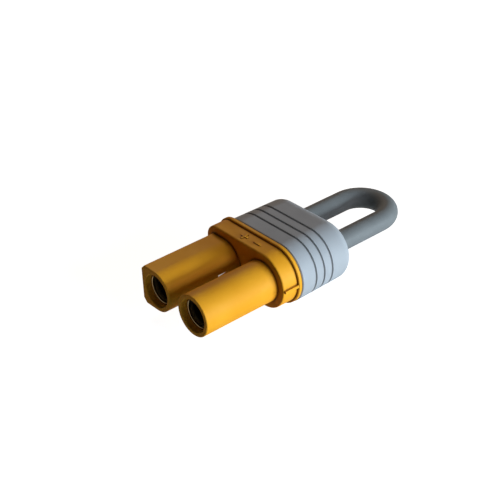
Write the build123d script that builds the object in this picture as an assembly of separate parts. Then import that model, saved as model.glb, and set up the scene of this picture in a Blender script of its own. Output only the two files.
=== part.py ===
"""Two-pole battery connector, socket side, with a rear cap and a short cable loop between its poles.

The round-sided barrel is on the right (+X) and the keyed barrel on the left. +Y runs from the mating
face towards the loop and +Z is up. Pieces are drawn from the mating face at y = 0 with the poles'
axes at z = 0, and are moved at the end so that the part stands on z = 0 about its middle.
"""
import os
from math import radians, tan

from build123d import *

# Poles
pitch = 10.7  # centre to centre of the two poles
pin_bore_radius = 2.3  # working bore of the contacts, for a 4.5 mm pin
entry_radius = 2.9  # wider mouth that leads the pin in
entry_length = 3.0
contact_wall = 0.37  # metal round the mouth
contact_recess = 1.3  # contact's front edge behind the mating face
bore_length = 11.5  # full-width part of the working bore
contact_edge = 0.08  # broken edges of the turned contact

# Collar that locates each contact in the housing
seat_depth = 0.95  # collar seat behind the front of the body
collar_height = 0.45
collar_length = 1.6
cup_offset = 1.3  # cup's bottom behind the collar

# Spring lance that locks each contact in a window of its barrel, on the side towards the other pole
lance_front = 11.4  # lance's front edge behind the mating face
lance_length = 2.2
lance_width = 0.74
lance_recess = 0.06  # lance's tip inside the barrel's surface
channel_radius = 0.9  # shallow channel rolled along the lance's face
channel_depth = 0.06

# Solder cups and the solder in them
cup_bore_radius = 2.0
cup_wall = 0.85
cup_depth = 8.0
scoop_length = 5.2  # length over which the cup's upper wall is open
scoop_height = 0.7  # floor of that opening above the cup's axis
scoop_radius = 1.1
solder_shortfall = 0.5  # solder ends this far inside the cup's rear edge

# Cable
conductor_radius = 1.3
jacket_wall = 0.8
conductor_gap = 0.3  # stripped end from the cup's bottom
strip_gap = 0.5  # bare strands between the cup and the jacket
leg_length = 13.17  # straight cable behind the cap, as far as the bend

# Socket housing
barrel_length = 16.67
barrel_wall = 0.87
key_reach = 4.15  # flat side of the keyed barrel, from its axis
key_chamfer = 0.92
barrel_edge = 0.12
mouth_chamfer = 0.12
body_length = 3.5  # front of the body to the rim
body_step = 1.48  # body outside the round barrel
body_left_step = 1.35  # body outside the keyed barrel's flat
body_corner = 2.9
body_edge = 0.35
rim_thickness = 0.88
rim_proud = 0.45
rim_left_proud = 0.7
rim_corner = 4.1
rim_edge = 0.14
rim_seam_edge = 0.15  # broken edge of the rim where the cap meets it
end_rib_width = 0.55
end_rib_setback = 0.25
tail_length = 5.35  # spigot that the cap slides over
tail_edge = 0.4
retaining_lip_height = 0.2  # moulded lip that holds the contact's collar
retaining_lip_length = 0.45

# Rear cap
cap_length = 13.25
cap_overhang = 0.15  # cap's end beyond the rim's round end, at the front
cap_draft = 0.35  # each end comes in by this much towards the back
cap_wall = 1.15
cap_back_wall = 2.0
cap_back_radius = 2.1
cap_front_edge = 0.18
groove_first = 3.45  # first grip groove behind the cap's front edge
groove_pitch = 2.11
groove_count = 3
groove_width = 0.5
groove_floor = 0.16  # width of the groove's flat bottom
groove_depth = 0.3

# Snap that holds the cap on the spigot
snap_width = 8.0
snap_length = 1.2
snap_height = 0.2
snap_setback = 1.0  # snap's front edge behind the rim

# Clearances
contact_clearance = 0.03
collar_clearance = 0.05
lance_clearance = 0.05
cap_clearance = 0.08
snap_clearance = 0.05
cable_clearance = 0.05

# Radii that follow from these
contact_radius = entry_radius + contact_wall
barrel_bore_radius = contact_radius + contact_clearance
barrel_radius = barrel_bore_radius + barrel_wall
collar_radius = contact_radius + collar_height
collar_bore_radius = collar_radius + collar_clearance
cup_radius = cup_bore_radius + cup_wall
cable_radius = conductor_radius + jacket_wall
pole = pitch / 2

# Stations along the connector, measured from the mating face
rim_front = barrel_length + body_length
rim_back = rim_front + rim_thickness
tail_back = rim_back + tail_length
entry_back = contact_recess + entry_length
bore_front = entry_back + entry_radius - pin_bore_radius
bore_back = bore_front + bore_length
drill_tip = bore_back + pin_bore_radius * tan(radians(31))
collar_front = barrel_length + seat_depth
collar_back = collar_front + collar_length
cup_bottom = collar_back + cup_offset
cup_back = cup_bottom + cup_depth
solder_back = cup_back - solder_shortfall
conductor_front = cup_bottom + conductor_gap
jacket_front = cup_back + strip_gap
cap_back = rim_back + cap_length
cap_inside_back = cap_back - cap_back_wall
bend_start = cap_back + leg_length
overall_length = bend_start + pole + cable_radius

# Outlines across the connector
body_half_height = barrel_radius + body_step
body_right = pole + body_half_height
body_left = pole + key_reach + body_left_step
rim_half_height = body_half_height + rim_proud
rim_right = body_right + rim_proud
rim_left = body_left + rim_left_proud
cap_half_height = rim_half_height
cap_front_half_width = rim_right + cap_overhang
cap_back_half_width = cap_front_half_width - cap_draft
cavity_half_width = cap_back_half_width - cap_wall
cavity_half_height = cap_half_height - cap_wall
tail_half_width = cavity_half_width - cap_clearance
tail_half_height = cavity_half_height - cap_clearance


def across(y):
    """Work plane across the connector, y behind the mating face, with its x to the right."""
    return Plane(origin=(0, y, 0), x_dir=(1, 0, 0), z_dir=(0, 1, 0))


def prism(outline, front, back):
    """Outline carried straight along the connector between two stations."""
    return extrude(across(front) * outline, back - front)


def disc(side, radius):
    """Circle about one pole's axis; side is -1 for the keyed pole and 1 for the round one."""
    return Pos(side * pole, 0) * Circle(radius)


def oblong(half_width, half_height):
    """Outline with a full radius at both ends."""
    return SlotOverall(2 * half_width, 2 * half_height)


def d_outline(left, right, half_height, corner):
    """Outline with a full radius on the right and two rounded corners on the left."""
    end_centre = right - half_height
    block = Pos((end_centre - left) / 2, 0) * Rectangle(end_centre + left, 2 * half_height)
    block = fillet(block.vertices().group_by(Axis.X)[0], corner)
    return block + Pos(end_centre, 0) * Circle(half_height)


def keyed_outline():
    """Barrel outline that is round towards the other pole and squared away from it."""
    square = Pos(-key_reach / 2, 0) * Rectangle(key_reach, 2 * barrel_radius)
    square = chamfer(square.vertices().group_by(Axis.X)[0], key_chamfer)
    inner_half = Pos(barrel_radius / 2, 0) * Rectangle(barrel_radius, 2 * barrel_radius)
    return Pos(-pole, 0) * (square + (Circle(barrel_radius) & inner_half))


def edges_at(solid, y):
    """Edges that lie in the cross plane at station y."""
    return solid.edges().filter_by_position(Axis.Y, y - 0.001, y + 0.001)


def socket_housing():
    """One moulding: two barrels, the body that joins them, its rim and the spigot for the cap."""
    block = prism(d_outline(body_left, body_right, body_half_height, body_corner), barrel_length, rim_front)
    block = fillet(edges_at(block, barrel_length), body_edge)
    rim = prism(d_outline(rim_left, rim_right, rim_half_height, rim_corner), rim_front, rim_back)
    rim = chamfer(edges_at(rim, rim_front), rim_edge)
    rim = chamfer(edges_at(rim, rim_back), rim_seam_edge)
    tail = prism(oblong(tail_half_width, tail_half_height), rim_back, tail_back)
    tail = chamfer(edges_at(tail, tail_back), tail_edge)
    housing = block + rim + tail + end_rib() + snap_ridges(0)
    for barrel_outline in (keyed_outline(), disc(1, barrel_radius)):
        barrel = prism(barrel_outline, 0, rim_front)
        housing += chamfer(edges_at(barrel, 0), barrel_edge)
    for side in (-1, 1):
        housing -= contact_space(side)
        housing -= lance(side, barrel_radius + lance_clearance, lance_clearance)
    return housing


def contact_space(side):
    """Stepped hole that takes one contact from behind, with the lip that snaps over its collar."""
    space = prism(disc(side, barrel_bore_radius), 0, collar_front)
    mouth = Plane(origin=(side * pole, 0, 0), z_dir=(0, 1, 0)) * Cone(
        barrel_bore_radius + mouth_chamfer, barrel_bore_radius, mouth_chamfer,
        align=(Align.CENTER, Align.CENTER, Align.MIN))
    pocket = prism(disc(side, collar_bore_radius), collar_front, tail_back)
    lip_bore = disc(side, collar_bore_radius) - disc(side, collar_radius - retaining_lip_height)
    lip = prism(lip_bore, collar_back, collar_back + retaining_lip_length)
    return space + mouth + (pocket - lip)


def lance(side, reach, clearance):
    """Lance out to this radius from its pole; with a clearance, the window that it springs into."""
    root = contact_radius - contact_wall
    return Pos(side * (pole - (root + reach) / 2), lance_front + lance_length / 2, 0) * Box(
        reach - root, lance_length + 2 * clearance, lance_width + 2 * clearance)


def dished_lance(side):
    """Lance as it is on the contact, with the channel along its face."""
    tip = barrel_radius - lance_recess
    roller = Pos(side * (pole - tip - channel_radius + channel_depth), 0) * Circle(channel_radius)
    return lance(side, tip, 0) - prism(roller, lance_front, lance_front + lance_length)


def end_rib():
    """Thin rib along the parting line of the body's round end, level with the rim."""
    rib_front = barrel_length + end_rib_setback
    rib_length = rim_front - rib_front
    return Pos((pole + rim_right) / 2, rib_front + rib_length / 2, 0) * Box(
        rim_right - pole, rib_length, end_rib_width)


def snap_ridges(clearance):
    """Ridges above and below the spigot; with a clearance, the recesses that they spring into."""
    front = rim_back + snap_setback - clearance
    back = rim_back + snap_setback + snap_length + clearance
    crest = tail_half_height + snap_height + clearance
    half_width = snap_width / 2 + clearance
    return Pos(0, (front + back) / 2, 0) * Box(2 * half_width, back - front, 2 * crest)


def contact(side):
    """Turned, gold-plated socket contact: mouth, working bore, collar and open-topped solder cup."""
    half_section = Polyline(
        (entry_radius + contact_edge, contact_recess),
        (contact_radius - contact_edge, contact_recess),
        (contact_radius, contact_recess + contact_edge),
        (contact_radius, collar_front),
        (collar_radius, collar_front),
        (collar_radius, collar_back),
        (cup_radius, collar_back),
        (cup_radius, cup_back),
        (cup_bore_radius, cup_back),
        (cup_bore_radius, cup_bottom),
        (0, cup_bottom),
        (0, drill_tip),
        (pin_bore_radius, bore_back),
        (pin_bore_radius, bore_front),
        (entry_radius, entry_back),
        (entry_radius, contact_recess + contact_edge),
        close=True)
    turned = revolve(make_face(half_section), Axis.Y) - cup_scoop()
    return Pos(side * pole, 0, 0) * turned + dished_lance(side)


def cup_scoop():
    """Opening in the upper wall of a solder cup, with a rounded front end."""
    side_view = Pos(cup_back - scoop_length / 2, scoop_height + cup_radius / 2) * Rectangle(
        scoop_length, cup_radius)
    front_corner = side_view.vertices().group_by(Axis.X)[0].sort_by(Axis.Y)[0]
    side_view = fillet(front_corner, scoop_radius)
    return extrude(Plane.YZ * side_view, cup_radius, both=True)


def solder_joint(side):
    """Solder that fills one cup round the stripped end of the conductor."""
    strands = disc(side, conductor_radius)
    floor = prism(disc(side, cup_bore_radius), cup_bottom, conductor_front)
    return floor + prism(disc(side, cup_bore_radius) - strands, conductor_front, solder_back)


def loop(section, front):
    """Section carried out of one pole, round the bend and back into the other."""
    route = Line((-pole, front), (-pole, bend_start))
    route += ThreePointArc((-pole, bend_start), (0, bend_start + pole), (pole, bend_start))
    route += Line((pole, bend_start), (pole, front))
    return sweep(Plane(origin=(-pole, front, 0), z_dir=(0, 1, 0)) * section, path=route)


def rear_cap():
    """Moulded cap over the spigot and the solder cups, with grip grooves and two cable holes."""
    front_outline = across(rim_back) * oblong(cap_front_half_width, cap_half_height)
    back_outline = across(cap_back) * oblong(cap_back_half_width, cap_half_height)
    cap = loft([front_outline, back_outline], ruled=True)
    cap = fillet(edges_at(cap, cap_back), cap_back_radius)
    cap = chamfer(edges_at(cap, rim_back), cap_front_edge)
    for number in range(groove_count):
        cap -= grip_groove(rim_back + groove_first + number * groove_pitch)
    cap -= prism(oblong(cavity_half_width, cavity_half_height), rim_back, cap_inside_back)
    cap -= snap_ridges(snap_clearance)
    for side in (-1, 1):
        cap -= prism(disc(side, cable_radius + cable_clearance), cap_inside_back, cap_back)
    return cap


def grip_groove(y):
    """Flat-bottomed cutter with sloping sides that runs right round the cap at station y."""
    half_width = cap_front_half_width - cap_draft * (y - rim_back) / cap_length
    side_slope = (groove_width - groove_floor) / 2
    section = make_face(Polyline(
        (-groove_floor / 2, -groove_depth),
        (groove_floor / 2, -groove_depth),
        (groove_width / 2 + side_slope, groove_depth),
        (-groove_width / 2 - side_slope, groove_depth),
        close=True))
    ring = (across(y) * oblong(half_width, cap_half_height)).wire()
    top = Plane(origin=(0, y, cap_half_height), x_dir=(0, 1, 0), z_dir=(1, 0, 0))
    return sweep(top * section, path=ring)


cable_section = Circle(cable_radius) - Circle(conductor_radius)
pieces = {
    "socket_housing": socket_housing(),
    "rear_cap": rear_cap(),
    "left_contact": contact(-1),
    "right_contact": contact(1),
    "left_solder_joint": solder_joint(-1),
    "right_solder_joint": solder_joint(1),
    "loop_conductor": loop(Circle(conductor_radius), conductor_front),
    "loop_cable_jacket": loop(cable_section, jacket_front),
}

standing = Pos(0, -overall_length / 2, rim_half_height)
os.makedirs("parts", exist_ok=True)
for name, piece in pieces.items():
    export_step(standing * piece, f"parts/{name}.step")
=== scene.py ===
import math

import bpy
from mathutils import Matrix, Vector


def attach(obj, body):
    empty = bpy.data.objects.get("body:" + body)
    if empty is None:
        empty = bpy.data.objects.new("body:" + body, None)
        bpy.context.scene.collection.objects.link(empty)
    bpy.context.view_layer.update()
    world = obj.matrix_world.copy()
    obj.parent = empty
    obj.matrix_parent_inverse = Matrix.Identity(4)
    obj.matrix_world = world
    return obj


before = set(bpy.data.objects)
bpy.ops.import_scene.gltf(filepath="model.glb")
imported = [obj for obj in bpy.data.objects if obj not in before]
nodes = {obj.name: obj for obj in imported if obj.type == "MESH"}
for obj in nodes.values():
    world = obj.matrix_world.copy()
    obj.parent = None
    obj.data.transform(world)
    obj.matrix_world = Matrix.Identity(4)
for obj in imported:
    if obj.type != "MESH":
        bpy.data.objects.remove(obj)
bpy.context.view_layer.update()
bpy.ops.object.select_all(action="DESELECT")
scene = bpy.context.scene

# Socket housing. One moulding in glass-filled nylon, dyed orange yellow, that holds both contacts.
# The mould was spark-eroded, which leaves a fine satin grain; the colour is a little uneven where the
# melt flowed, darkened in the corners by painted shade, and paler and smoother on the edges, where
# fingers and plugs have rubbed them and where a painted highlight lies on them.
pole_height = 0.0061
pole_offset = 0.00535


def new_finish(name):
    material = bpy.data.materials.new(name)
    material.use_nodes = True
    tree = material.node_tree
    tree.nodes.clear()
    shader = tree.nodes.new("ShaderNodeBsdfPrincipled")
    output = tree.nodes.new("ShaderNodeOutputMaterial")
    tree.links.new(shader.outputs["BSDF"], output.inputs["Surface"])
    return material, tree, shader


def new_effect(name, inputs, outputs):
    effect = bpy.data.node_groups.new(name, "ShaderNodeTree")
    for socket, kind in inputs:
        effect.interface.new_socket(socket, in_out="INPUT", socket_type=kind)
    for socket, kind in outputs:
        effect.interface.new_socket(socket, in_out="OUTPUT", socket_type=kind)
    return effect, effect.nodes.new("NodeGroupInput"), effect.nodes.new("NodeGroupOutput")


def place_effect(tree, effect, **values):
    node = tree.nodes.new("ShaderNodeGroup")
    node.node_tree = effect
    for socket, value in values.items():
        node.inputs[socket.replace("_", " ")].default_value = value
    return node


def maths(tree, operation, first, second=None, clamp=False):
    node = tree.nodes.new("ShaderNodeMath")
    node.operation = operation
    node.use_clamp = clamp
    for socket, value in zip(node.inputs, (first, second)):
        if isinstance(value, (int, float)):
            socket.default_value = value
        elif value is not None:
            tree.links.new(value, socket)
    return node.outputs[0]


def blend(tree, factor, first, second, kind="MIX"):
    node = tree.nodes.new("ShaderNodeMix")
    node.data_type = "RGBA"
    node.blend_type = kind
    for socket, value in ((node.inputs[0], factor), (node.inputs[6], first), (node.inputs[7], second)):
        if isinstance(value, (int, float, tuple)):
            socket.default_value = value
        else:
            tree.links.new(value, socket)
    return node.outputs[2]


def noise(tree, where, scale, detail=2.0, roughness=0.5):
    node = tree.nodes.new("ShaderNodeTexNoise")
    node.inputs["Scale"].default_value = scale
    node.inputs["Detail"].default_value = detail
    node.inputs["Roughness"].default_value = roughness
    tree.links.new(where, node.inputs["Vector"])
    return node.outputs["Fac"]


def spread(tree, value, low, high, new_low, new_high):
    node = tree.nodes.new("ShaderNodeMapRange")
    node.inputs["From Min"].default_value = low
    node.inputs["From Max"].default_value = high
    node.inputs["To Min"].default_value = new_low
    node.inputs["To Max"].default_value = new_high
    tree.links.new(value, node.inputs["Value"])
    return node.outputs["Result"]


def add_bump(tree, shader, height, strength, distance):
    node = tree.nodes.new("ShaderNodeBump")
    node.inputs["Strength"].default_value = strength
    node.inputs["Distance"].default_value = distance
    tree.links.new(height, node.inputs["Height"])
    tree.links.new(node.outputs["Normal"], shader.inputs["Normal"])


def about_pole(tree, place):
    """Where a point lies about the nearer pole's axis: how far outwards from it, and how far above it."""
    outwards = maths(tree, "SUBTRACT", maths(tree, "ABSOLUTE", place.outputs["X"]), pole_offset)
    return outwards, maths(tree, "SUBTRACT", place.outputs["Z"], pole_height)


def distance(tree, across, above):
    return maths(tree, "SQRT", maths(tree, "ADD", maths(tree, "MULTIPLY", across, across),
                                     maths(tree, "MULTIPLY", above, above)))


# How far a corner shades a point, from 0 in the open to 1 deep in a corner.
corner_shade, shade_in, shade_out = new_effect(
    "corner shade", [("Reach", "NodeSocketFloat")], [("Shade", "NodeSocketFloat")])
open_sky = corner_shade.nodes.new("ShaderNodeAmbientOcclusion")
open_sky.samples = 8
corner_shade.links.new(shade_in.outputs["Reach"], open_sky.inputs["Distance"])
corner_shade.links.new(spread(corner_shade, open_sky.outputs["AO"], 0.48, 0.88, 1.0, 0.0),
                       shade_out.inputs["Shade"])

# How much an outer edge has been rubbed and carries a painted highlight: the normal there differs from one
# rounded over a small radius.
rubbed_and_highlit_edge, rub_highlight_in, rub_highlight_out = new_effect(
    "rubbed and highlit edge", [("Radius", "NodeSocketFloat"), ("Vector", "NodeSocketVector")],
    [("Rub and highlight", "NodeSocketFloat")])
rounded = rubbed_and_highlit_edge.nodes.new("ShaderNodeBevel")
rounded.samples = 6
surface = rubbed_and_highlit_edge.nodes.new("ShaderNodeNewGeometry")
agree = rubbed_and_highlit_edge.nodes.new("ShaderNodeVectorMath")
agree.operation = "DOT_PRODUCT"
rubbed_and_highlit_edge.links.new(rub_highlight_in.outputs["Radius"], rounded.inputs["Radius"])
rubbed_and_highlit_edge.links.new(rounded.outputs["Normal"], agree.inputs[0])
rubbed_and_highlit_edge.links.new(surface.outputs["Normal"], agree.inputs[1])
edge = spread(rubbed_and_highlit_edge, agree.outputs["Value"], 0.995, 0.88, 0.0, 1.0)
patchy = spread(rubbed_and_highlit_edge, noise(rubbed_and_highlit_edge, rub_highlight_in.outputs["Vector"], 700.0, 3.0), 0.35, 0.65, 0.25, 1.0)
rubbed_and_highlit_edge.links.new(maths(rubbed_and_highlit_edge, "MULTIPLY", edge, patchy), rub_highlight_out.inputs["Rub and highlight"])

# Satin grain of a spark-eroded mould: the height of the grain, and a slow cloudiness for the colour.
mould_grain, grain_in, grain_out = new_effect(
    "mould grain", [("Vector", "NodeSocketVector")],
    [("Height", "NodeSocketFloat"), ("Cloud", "NodeSocketFloat")])
fine = noise(mould_grain, grain_in.outputs["Vector"], 6500.0, 2.0, 0.6)
coarse = noise(mould_grain, grain_in.outputs["Vector"], 1800.0, 1.0)
mould_grain.links.new(maths(mould_grain, "ADD", fine, maths(mould_grain, "MULTIPLY", coarse, 0.5)),
                      grain_out.inputs["Height"])
mould_grain.links.new(noise(mould_grain, grain_in.outputs["Vector"], 160.0, 3.0, 0.55),
                      grain_out.inputs["Cloud"])


def moulded_nylon(name, deep, plain, rubbed_and_highlit, dull, polish, reach):
    """Nylon from a grained mould: deep and plain are its two tones, dull is the tone of painted shade in its
    corners.

    The paler edge tone is partly wear and partly painted highlight. Near the barrels' front ends the
    corners take far less of the painted shade.
    """
    material, tree, shader = new_finish(name)
    where = tree.nodes.new("ShaderNodeTexCoord").outputs["Object"]
    grain = place_effect(tree, mould_grain)
    rub_and_highlight = place_effect(tree, rubbed_and_highlit_edge, Radius=0.00018)
    shade = place_effect(tree, corner_shade, Reach=reach)
    tree.links.new(where, grain.inputs["Vector"])
    tree.links.new(where, rub_and_highlight.inputs["Vector"])
    cloud = spread(tree, grain.outputs["Cloud"], 0.3, 0.7, 0.0, 1.0)
    colour = blend(tree, cloud, deep, plain)
    # Pale edge tone: rubbing wear, and a painted highlight along the edges.
    colour = blend(tree, maths(tree, "MULTIPLY", rub_and_highlight.outputs["Rub and highlight"], 0.6), colour, rubbed_and_highlit)
    place = tree.nodes.new("ShaderNodeSeparateXYZ")
    tree.links.new(where, place.inputs["Vector"])
    # Painted shade: corners are darkened toward the dull tone, far less near the barrels' front ends.
    painted_shade_share = spread(tree, place.outputs["Y"], -0.0265, -0.0255, 0.25, 0.95)
    colour = blend(tree, maths(tree, "MULTIPLY", shade.outputs["Shade"], painted_shade_share), colour, dull)
    tree.links.new(colour, shader.inputs["Base Color"])
    rough = maths(tree, "ADD", spread(tree, grain.outputs["Cloud"], 0.3, 0.7, polish + 0.05, polish - 0.03),
                  maths(tree, "MULTIPLY", rub_and_highlight.outputs["Rub and highlight"], -0.12))
    tree.links.new(rough, shader.inputs["Roughness"])
    add_bump(tree, shader, grain.outputs["Height"], 0.25, 0.00003)
    shader.inputs["Specular IOR Level"].default_value = 0.12
    return material


orange_nylon = moulded_nylon("orange_nylon", (0.90, 0.385, 0.018, 1.0), (0.96, 0.435, 0.026, 1.0),
                             (0.98, 0.54, 0.075, 1.0), (0.21, 0.070, 0.004, 1.0), 0.56, 0.0008)
# Three tones of the housing follow the light and shade in the photograph, by place on the moulding: a
# dark front face beside the round barrel, duller flanks between the barrels, and brighter mouths.
mouth_radius = 0.00336
tree = orange_nylon.node_tree
shader = tree.nodes["Principled BSDF"]
coordinates = tree.nodes.new("ShaderNodeTexCoord")
place = tree.nodes.new("ShaderNodeSeparateXYZ")
facing = tree.nodes.new("ShaderNodeSeparateXYZ")
tree.links.new(coordinates.outputs["Object"], place.inputs["Vector"])
tree.links.new(coordinates.outputs["Normal"], facing.inputs["Vector"])
dark_front = maths(tree, "MULTIPLY", spread(tree, facing.outputs["Y"], -0.5, -0.9, 0.0, 0.75),
                   maths(tree, "MULTIPLY", spread(tree, place.outputs["X"], 0.0045, 0.0085, 0.0, 1.0),
                         spread(tree, place.outputs["Y"], -0.0112, -0.0110, 0.0, 1.0)))
between = maths(tree, "MULTIPLY", spread(tree, maths(tree, "ABSOLUTE", place.outputs["X"]),
                                         0.0018, 0.0012, 0.0, 0.9),
                spread(tree, place.outputs["Y"], -0.0108, -0.0110, 0.0, 1.0))
from_pole = distance(tree, *about_pole(tree, place))
mouth = maths(tree, "MULTIPLY", spread(tree, from_pole, mouth_radius + 0.00006, mouth_radius, 0.0, 1.0),
              spread(tree, place.outputs["Y"], -0.0258, -0.0262, 0.0, 1.0))
colour = blend(tree, between, shader.inputs["Base Color"].links[0].from_socket, (0.66, 0.43, 0.03, 1.0))
colour = blend(tree, mouth, colour, (1.0, 0.55, 0.05, 1.0))
colour = blend(tree, dark_front, colour, (0.22, 0.10, 0.006, 1.0))
tree.links.new(colour, shader.inputs["Base Color"])
nodes["socket_housing"].material_slots[0].material = orange_nylon

# Pole signs. A plus and a minus, moulded as one with the housing and raised a little from its top,
# in the middle of the body between the mating face's side and the rim.
body_top = 0.01175
sign_middle = -0.00905
sign_height = 0.00018
stroke = 0.00040


def raised_sign(name, x, arms):
    """Block of one stroke's width, with an arm pulled out of each side that is asked for."""
    bpy.ops.mesh.primitive_cube_add(size=1.0, location=(x, sign_middle, body_top + sign_height / 2 - 0.00003),
                                    scale=(stroke, stroke, sign_height + 0.00006))
    sign = bpy.context.object
    sign.name = name
    bpy.ops.object.transform_apply(location=True, rotation=True, scale=True)
    bpy.ops.object.mode_set(mode="EDIT")
    for direction, length in arms:
        bpy.ops.mesh.select_mode(type="FACE")
        bpy.ops.mesh.select_all(action="DESELECT")
        bpy.ops.object.mode_set(mode="OBJECT")
        for face in sign.data.polygons:
            from_middle = Vector((face.center.x - x, face.center.y - sign_middle, 0.0))
            on_line = from_middle.cross(direction).length < stroke * 0.1
            face.select = on_line and face.normal.dot(direction) > 0.99
        bpy.ops.object.mode_set(mode="EDIT")
        bpy.ops.mesh.extrude_region_move(TRANSFORM_OT_translate={"value": direction * length})
    bpy.ops.object.mode_set(mode="OBJECT")
    soften = sign.modifiers.new("soften", "BEVEL")
    soften.width = 0.00005
    soften.segments = 2
    soften.limit_method = "ANGLE"
    soften.harden_normals = False
    bpy.ops.object.modifier_apply(modifier="soften")
    bpy.ops.object.shade_smooth_by_angle(angle=math.radians(40))
    sign.data.materials.append(orange_nylon)
    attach(sign, "root")
    sign.select_set(False)
    return sign


right, left = Vector((1.0, 0.0, 0.0)), Vector((-1.0, 0.0, 0.0))
back, front = Vector((0.0, 1.0, 0.0)), Vector((0.0, -1.0, 0.0))
arm = 0.00072
raised_sign("plus_sign", -0.0016, [(right, arm), (left, arm), (back, arm), (front, arm)])
raised_sign("minus_sign", 0.0020, [(right, arm), (left, arm)])

# Socket contacts. Turned from brass rod with fine rings from the tool, plated with pale gold, and snapped
# into the barrels from behind. The lance on each one's side is polished pale. The dark bore and front
# face are painted shade, and so is the darker film that leaves only the upper left of the bright edge bright.
contact_front = 0.02616
gold_plate, tree, shader = new_finish("gold_plate")
where = tree.nodes.new("ShaderNodeTexCoord").outputs["Object"]
parts = tree.nodes.new("ShaderNodeSeparateXYZ")
tree.links.new(where, parts.inputs["Vector"])
side, rise = about_pole(tree, parts)
radius = distance(tree, side, rise)
depth = maths(tree, "ADD", parts.outputs["Y"], contact_front)
# Painted shade: the bore inside the contact is near black.
painted_shade_bore = maths(tree, "MULTIPLY", spread(tree, radius, 0.00297, 0.00290, 0.0, 1.0),
               spread(tree, depth, 0.00005, 0.0012, 0.0, 1.0))
grey_film = noise(tree, where, 900.0, 4.0, 0.6)
colour = blend(tree, spread(tree, grey_film, 0.35, 0.7, 0.0, 0.5), (0.93, 0.72, 0.38, 1.0),
               (0.66, 0.46, 0.20, 1.0))
# Painted shade: the contact's front face is dark brown.
face = maths(tree, "MULTIPLY", spread(tree, depth, 0.00003, 0.00001, 0.0, 1.0),
             spread(tree, grey_film, 0.3, 0.7, 1.0, 0.7))
colour = blend(tree, face, colour, (0.20, 0.115, 0.045, 1.0))
outer = maths(tree, "MULTIPLY", side, maths(tree, "SIGN", parts.outputs["X"]))
# Painted shade: the bright edge is darkened all round but at its upper left.
painted_shade_edge = maths(tree, "MAXIMUM", spread(tree, radius, 0.00302, 0.00312, 0.0, 1.0),
             spread(tree, maths(tree, "SUBTRACT", rise, outer), 0.0028, 0.0036, 0.6, 0.0))
painted_shade_edge = maths(tree, "MULTIPLY", painted_shade_edge, spread(tree, depth, 0.0006, 0.0004, 0.0, 1.0))
colour = blend(tree, painted_shade_edge, colour, (0.26, 0.125, 0.03, 1.0))
colour = blend(tree, painted_shade_bore, colour, (0.020, 0.013, 0.007, 1.0))
lance = spread(tree, radius, 0.00330, 0.00345, 0.0, 1.0)
lance = maths(tree, "MULTIPLY", lance, spread(tree, depth, 0.0130, 0.0129, 0.0, 1.0))
colour = blend(tree, lance, colour, (0.97, 0.93, 0.84, 1.0))
tree.links.new(colour, shader.inputs["Base Color"])
turning = tree.nodes.new("ShaderNodeTexNoise")
turning.noise_dimensions = "1D"
turning.inputs["Scale"].default_value = 9000.0
turning.inputs["Detail"].default_value = 2.0
tree.links.new(maths(tree, "ADD", parts.outputs["Y"], radius), turning.inputs["W"])
rough = blend(tree, painted_shade_bore, spread(tree, grey_film, 0.3, 0.7, 0.18, 0.30), (0.6, 0.6, 0.6, 1.0))
tree.links.new(blend(tree, lance, rough, (0.08, 0.08, 0.08, 1.0)), shader.inputs["Roughness"])
add_bump(tree, shader, turning.outputs["Fac"], 0.15, 0.00002)
shader.inputs["Specular Tint"].default_value = (0.90, 0.62, 0.34, 1.0)
shader.inputs["Metallic"].default_value = 1.0
for name in ("left_contact", "right_contact"):
    nodes[name].material_slots[0].material = gold_plate

# Loop conductor. Several hundred fine copper strands, tinned and laid in a long twist; the solder in
# the cups wets its two bare ends. Only a section through the loop shows it.
strand_count = 14.0
lay_length = 0.022
tinned_strands, tree, shader = new_finish("tinned_strands")
where = tree.nodes.new("ShaderNodeTexCoord").outputs["Object"]
parts = tree.nodes.new("ShaderNodeSeparateXYZ")
tree.links.new(where, parts.inputs["Vector"])
side, rise = about_pole(tree, parts)
turn = maths(tree, "ADD", maths(tree, "ARCTAN2", rise, side),
             maths(tree, "MULTIPLY", parts.outputs["Y"], 2 * math.pi / lay_length))
strands = maths(tree, "ABSOLUTE", maths(tree, "SINE", maths(tree, "MULTIPLY", turn, strand_count)))
stain = noise(tree, where, 1200.0, 3.0)
colour = blend(tree, spread(tree, stain, 0.4, 0.75, 0.0, 0.6), (0.62, 0.60, 0.57, 1.0),
               (0.60, 0.42, 0.30, 1.0))
colour = blend(tree, spread(tree, strands, 0.0, 0.35, 0.8, 0.0), colour, (0.12, 0.10, 0.09, 1.0))
tree.links.new(colour, shader.inputs["Base Color"])
tree.links.new(spread(tree, stain, 0.3, 0.7, 0.32, 0.5), shader.inputs["Roughness"])
add_bump(tree, shader, strands, 0.8, 0.00008)
shader.inputs["Metallic"].default_value = 1.0
nodes["loop_conductor"].material_slots[0].material = tinned_strands

# Solder joints. Tin solder that filled each cup round the strands and froze with a bright skin, dull in
# patches where its grains set last.
joint_solder, tree, shader = new_finish("joint_solder")
where = tree.nodes.new("ShaderNodeTexCoord").outputs["Object"]
crystal = tree.nodes.new("ShaderNodeTexVoronoi")
crystal.inputs["Scale"].default_value = 2200.0
tree.links.new(where, crystal.inputs["Vector"])
frost = noise(tree, where, 700.0, 3.0)
dull = maths(tree, "MULTIPLY", spread(tree, frost, 0.4, 0.65, 0.0, 1.0), 0.6)
tree.links.new(blend(tree, dull, (0.70, 0.70, 0.71, 1.0), (0.42, 0.42, 0.44, 1.0)),
               shader.inputs["Base Color"])
tree.links.new(spread(tree, frost, 0.35, 0.7, 0.22, 0.5), shader.inputs["Roughness"])
add_bump(tree, shader, crystal.outputs["Distance"], 0.25, 0.00004)
shader.inputs["Metallic"].default_value = 1.0
for name in ("left_solder_joint", "right_solder_joint"):
    nodes[name].material_slots[0].material = joint_solder

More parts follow.
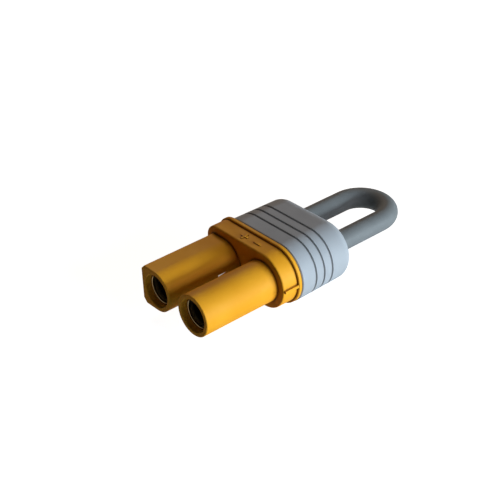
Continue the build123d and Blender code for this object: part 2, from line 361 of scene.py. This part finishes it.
# Cable jacket. Extruded silicone rubber, mid grey and limp, with a soft matte skin and a bloom of fine
# pale dust that silicone always holds.
grey_silicone, tree, shader = new_finish("grey_silicone")
where = tree.nodes.new("ShaderNodeTexCoord").outputs["Object"]
shade = place_effect(tree, corner_shade, Reach=0.0012)
cloud = noise(tree, where, 220.0, 3.0, 0.55)
dust = noise(tree, where, 5200.0, 3.0, 0.65)
colour = blend(tree, spread(tree, cloud, 0.3, 0.7, 0.0, 1.0), (0.178, 0.190, 0.193, 1.0),
               (0.205, 0.217, 0.220, 1.0))
colour = blend(tree, spread(tree, dust, 0.52, 0.78, 0.0, 0.35), colour, (0.34, 0.35, 0.35, 1.0))
# Painted shade: corners and creases darken the jacket toward near black.
colour = blend(tree, maths(tree, "MULTIPLY", shade.outputs["Shade"], 0.7), colour,
               (0.045, 0.047, 0.048, 1.0))
tree.links.new(colour, shader.inputs["Base Color"])
tree.links.new(spread(tree, cloud, 0.3, 0.7, 0.52, 0.62), shader.inputs["Roughness"])
add_bump(tree, shader, dust, 0.2, 0.00003)
shader.inputs["Specular IOR Level"].default_value = 0.15
nodes["loop_cable_jacket"].material_slots[0].material = grey_silicone

# Rear cap. A grey nylon moulding that slides over the cups and snaps onto the housing, from a mould
# grained like the housing's. Painted shade darkens its three grip grooves and its other corners.
grey_nylon = moulded_nylon("grey_nylon", (0.408, 0.430, 0.456, 1.0), (0.443, 0.467, 0.495, 1.0),
                           (0.56, 0.59, 0.62, 1.0), (0.34, 0.348, 0.356, 1.0), 0.6, 0.0005)
nodes["rear_cap"].material_slots[0].material = grey_nylon

# Camera. At the photograph's own angle and distance, on a long lens, and turned a little about its own
# axis, with the azimuth counted from the front and the elevation from the floor.
camera_azimuth = math.radians(50.478)
camera_elevation = math.radians(32.292)
camera_roll = math.radians(-2.208)
camera_distance = 0.237753
camera_target = Vector((-0.004258, -0.005674, 0.0061))
camera_back = Vector((
    math.sin(camera_azimuth) * math.cos(camera_elevation),
    -math.cos(camera_azimuth) * math.cos(camera_elevation),
    math.sin(camera_elevation)))
camera_right = Vector((math.cos(camera_azimuth), math.sin(camera_azimuth), 0.0))
camera_up = camera_back.cross(camera_right)
rolled_right = camera_right * math.cos(camera_roll) + camera_up * math.sin(camera_roll)
rolled_up = camera_up * math.cos(camera_roll) - camera_right * math.sin(camera_roll)
camera = bpy.data.objects.new("camera", bpy.data.cameras.new("camera"))
camera.data.sensor_width = 36.0
camera.data.lens = 89.126
camera.data.clip_start = 0.01
camera.data.clip_end = 10.0
camera.matrix_world = Matrix((
    (rolled_right.x, rolled_up.x, camera_back.x, 0.0),
    (rolled_right.y, rolled_up.y, camera_back.y, 0.0),
    (rolled_right.z, rolled_up.z, camera_back.z, 0.0),
    (0.0, 0.0, 0.0, 1.0)))
camera.location = camera_target + camera_back * camera_distance
bpy.context.collection.objects.link(camera)
scene.camera = camera
scene.view_settings.view_transform = "Standard"

# Floor. A pale matte sheet under the object. To the camera and in reflections it also has a white of
# its own, a little under full, so that it looks white and keeps a faint shadow.


def seen_white(tree):
    """Full to the camera and through glass, and only a part in reflections, so that edges don't glare."""
    rays = tree.nodes.new("ShaderNodeLightPath")
    mirrored = maths(tree, "MULTIPLY", rays.outputs["Is Glossy Ray"], 0.35)
    direct = maths(tree, "MAXIMUM", rays.outputs["Is Camera Ray"], rays.outputs["Is Transmission Ray"])
    return maths(tree, "MAXIMUM", direct, mirrored)


bpy.ops.mesh.primitive_plane_add(size=3.0, location=(0.0, 0.0, -0.00002))
floor = bpy.context.object
floor.name = "floor"
paper = bpy.data.materials.new("pale_paper")
paper.use_nodes = True
tree = paper.node_tree
tree.nodes.clear()
matte = tree.nodes.new("ShaderNodeBsdfDiffuse")
matte.inputs["Color"].default_value = (0.80, 0.80, 0.80, 1.0)
white = tree.nodes.new("ShaderNodeEmission")
seen = seen_white(tree)
both = tree.nodes.new("ShaderNodeAddShader")
out = tree.nodes.new("ShaderNodeOutputMaterial")
tree.links.new(maths(tree, "MULTIPLY", seen, 0.90), white.inputs["Strength"])
tree.links.new(matte.outputs[0], both.inputs[0])
tree.links.new(white.outputs[0], both.inputs[1])
tree.links.new(both.outputs[0], out.inputs["Surface"])
floor.data.materials.append(paper)
floor.select_set(False)

# Studio walls. Far off all round: white behind the object to the camera, and a dim even light on it
# from everywhere.
studio = bpy.data.worlds.new("studio")
scene.world = studio
studio.use_nodes = True
tree = studio.node_tree
tree.nodes.clear()
dim = tree.nodes.new("ShaderNodeBackground")
dim.inputs["Strength"].default_value = 0.01
white = tree.nodes.new("ShaderNodeBackground")
white.inputs["Color"].default_value = (1.0, 1.0, 1.0, 1.0)
dim.inputs["Color"].default_value = (1.0, 1.0, 1.0, 1.0)
seen = seen_white(tree)
mix = tree.nodes.new("ShaderNodeMixShader")
out = tree.nodes.new("ShaderNodeOutputWorld")
tree.links.new(seen, mix.inputs["Fac"])
tree.links.new(dim.outputs[0], mix.inputs[1])
tree.links.new(white.outputs[0], mix.inputs[2])
tree.links.new(mix.outputs[0], out.inputs["Surface"])

# Lamps. A low soft box behind the round barrel and a smaller one above it give the cool light from the
# right, and a dimmer, warmer box fills in from the far left.
# Level 1 is the light under which a white sheet that faces the lamp is just white.
for name, azimuth, elevation, distance, width, height, level, colour in (
        ("low_key", 119.0, 5.0, 0.4, 0.24, 0.06, 1.22, (0.755, 0.905, 1.0)),
        ("high_key", 100.0, 20.0, 0.4, 0.14, 0.10, 0.29, (0.92, 0.93, 1.0)),
        ("left_fill", 242.0, 35.0, 0.4, 0.15, 0.15, 0.25, (1.0, 0.78, 0.60))):
    around, above = math.radians(azimuth), math.radians(elevation)
    away = Vector((math.sin(around) * math.cos(above), -math.cos(around) * math.cos(above),
                   math.sin(above)))
    light = bpy.data.lights.new(name, "AREA")
    light.shape = "RECTANGLE"
    light.size = width
    light.size_y = height
    light.energy = level * math.pi ** 2 * distance ** 2
    light.color = colour
    lamp = bpy.data.objects.new(name, light)
    lamp.rotation_mode = "QUATERNION"
    lamp.location = Vector((0.0, 0.0, pole_height)) + away * distance
    lamp.rotation_quaternion = away.to_track_quat("Z", "Y")
    lamp.visible_camera = False
    bpy.context.collection.objects.link(lamp)
